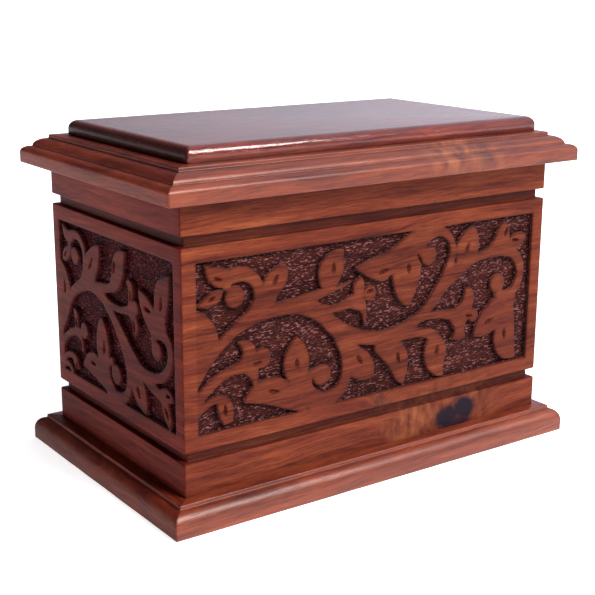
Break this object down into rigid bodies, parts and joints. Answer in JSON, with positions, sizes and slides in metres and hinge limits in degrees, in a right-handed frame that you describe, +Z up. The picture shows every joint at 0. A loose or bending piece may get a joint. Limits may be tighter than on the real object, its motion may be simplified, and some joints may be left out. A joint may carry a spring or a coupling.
{
  "type": "cremation urn box",
  "caption": "Rectangular carved hardwood urn box with mitred walls, moulded base, and a lift-off moulded lid with a raised top board.",
  "frame": {"origin": "centre of the footprint, on the surface the box stands on", "axes": "+X along the front towards the viewer's right, -Y out of the front, +Z up"},
  "size_m": [0.26, 0.164, 0.1836],
  "materials": {
    "face_wood": "glossy clear lacquer",
    "carved_wood": "satin clear lacquer",
    "plain_wood": "thin lacquer",
    "top_wood": "glossy clear lacquer"
  },
  "bodies": {
    "root": {"base_front": "face_wood", "base_back": "face_wood", "base_left": "face_wood", "base_right": "face_wood", "bottom_panel": "plain_wood", "front_wall": "carved_wood", "back_wall": "carved_wood", "left_wall": "carved_wood", "right_wall": "carved_wood", "cornice_front": "face_wood", "cornice_back": "face_wood", "cornice_left": "face_wood", "cornice_right": "face_wood", "top_panel": "top_wood"}
  },
  "joints": []
}
